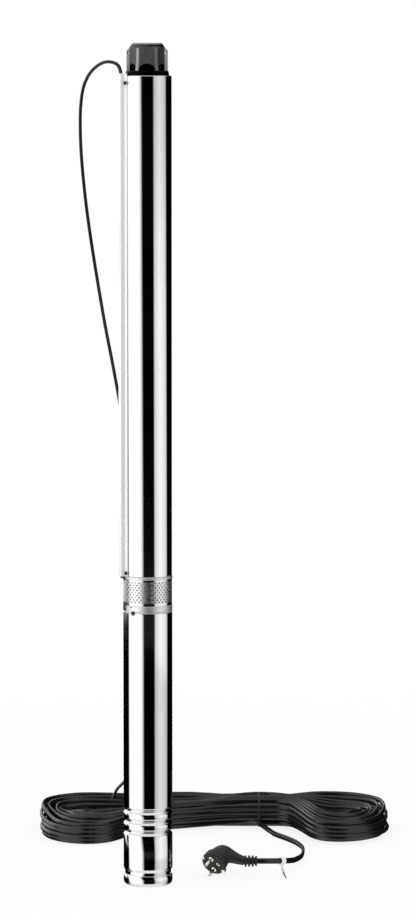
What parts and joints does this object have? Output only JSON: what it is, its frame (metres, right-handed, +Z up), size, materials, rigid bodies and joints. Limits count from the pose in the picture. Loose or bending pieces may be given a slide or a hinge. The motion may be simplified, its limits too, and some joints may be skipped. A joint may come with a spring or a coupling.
{
  "type": "borehole submersible pump",
  "caption": "Slim stainless-steel borehole pump with a ribbed motor base, intake screen, cable guard, dark threaded head and a tied hank of flat cable ending in a plug.",
  "frame": {"origin": "centre of the motor's bottom face, on the surface the pump stands on", "axes": "+Z up along the shaft to the discharge head; -Y towards the picture's camera"},
  "size_m": [0.5655, 0.6106, 1.285],
  "materials": {
    "polished_steel": "polished stainless steel",
    "brushed_steel": "brushed stainless steel",
    "black_casting": "black coated casting, satin",
    "laminations": "stacked electrical steel",
    "copper_winding": "varnished copper wire",
    "brass": "machined brass",
    "black_rubber": "matte black rubber",
    "cable_sheath": "satin black cable sheath",
    "black_plastic": "matte black plastic",
    "white_plastic": "white plastic",
    "stage_plastic": "filled engineering plastic",
    "dark_screw": "dark finished screw"
  },
  "bodies": {
    "pump": {"motor_shell": "polished_steel", "motor_end_cap": "polished_steel", "pump_shell": "polished_steel", "suction_bracket": "polished_steel", "intake_screen": "polished_steel", "cable_guard": "polished_steel", "lower_bearing_outer": "polished_steel", "upper_bearing_outer": "polished_steel", "valve_spring": "polished_steel", "plug_pin_upper": "polished_steel", "plug_pin_lower": "polished_steel", "motor_top_cover": "brushed_steel", "top_bearing_spider": "brushed_steel", "discharge_head": "black_casting", "stator_core": "laminations", "lower_bearing_bracket": "laminations", "stator_winding": "copper_winding", "valve_seat": "brass", "valve_guide": "brass", "plug_earth_contact": "brass", "top_bearing_bush": "black_rubber", "lead_gland": "black_rubber", "plug_body": "black_rubber", "motor_lead": "cable_sheath", "cord_riser": "cable_sheath", "cord_hank": "cable_sheath", "cord_tail": "cable_sheath", "hank_tie": "black_plastic", "flange_bolt_1": "black_plastic", "flange_bolt_2": "black_plastic", "capacitor": "white_plastic", "tail_tie": "white_plastic", "seal_stationary": "white_plastic", "bowls_1": "stage_plastic", "bowls_2": "stage_plastic", "bowls_3": "stage_plastic", "bowls_4": "stage_plastic", "bowls_5": "stage_plastic", "guard_screw_upper": "dark_screw", "guard_screw_lower": "dark_screw"},
    "rotor": {"motor_shaft": "polished_steel", "rotor_core": "laminations", "shaft_coupling": "polished_steel", "pump_shaft": "polished_steel", "impellers_1": "stage_plastic", "impellers_2": "stage_plastic", "impellers_3": "stage_plastic", "impellers_4": "stage_plastic", "impellers_5": "stage_plastic", "shaft_sleeve": "polished_steel", "impeller_lock_nut": "polished_steel", "sand_slinger": "black_rubber", "seal_rotating": "black_rubber", "upper_bearing_inner": "polished_steel", "lower_bearing_inner": "polished_steel"},
    "upper_cage": {"upper_bearing_cage": "brass"},
    "lower_cage": {"lower_bearing_cage": "brass"},
    "valve": {"valve_poppet": "black_rubber"}
  },
  "joints": [
    {"name": "rotor_spin", "type": "hinge", "parent": "pump", "child": "rotor", "pos_m": [0, 0, 0.25], "axis": [0, 0, 1], "continuous": true},
    {"name": "upper_cage_spin", "type": "hinge", "parent": "pump", "child": "upper_cage", "pos_m": [0, 0, 0.362], "axis": [0, 0, 1], "continuous": true},
    {"name": "lower_cage_spin", "type": "hinge", "parent": "pump", "child": "lower_cage", "pos_m": [0, 0, 0.11], "axis": [0, 0, 1], "continuous": true},
    {"name": "valve_lift", "type": "slide", "parent": "pump", "child": "valve", "axis": [0, 0, 1], "range_m": [0, 0.008], "stiffness_N_per_m": 120, "springref_m": -0.006, "deforming": ["valve_spring"]}
  ],
  "couplings": [
    {"joint": "upper_cage_spin", "follows": "rotor_spin", "ratio": 0.38},
    {"joint": "lower_cage_spin", "follows": "rotor_spin", "ratio": 0.38}
  ]
}
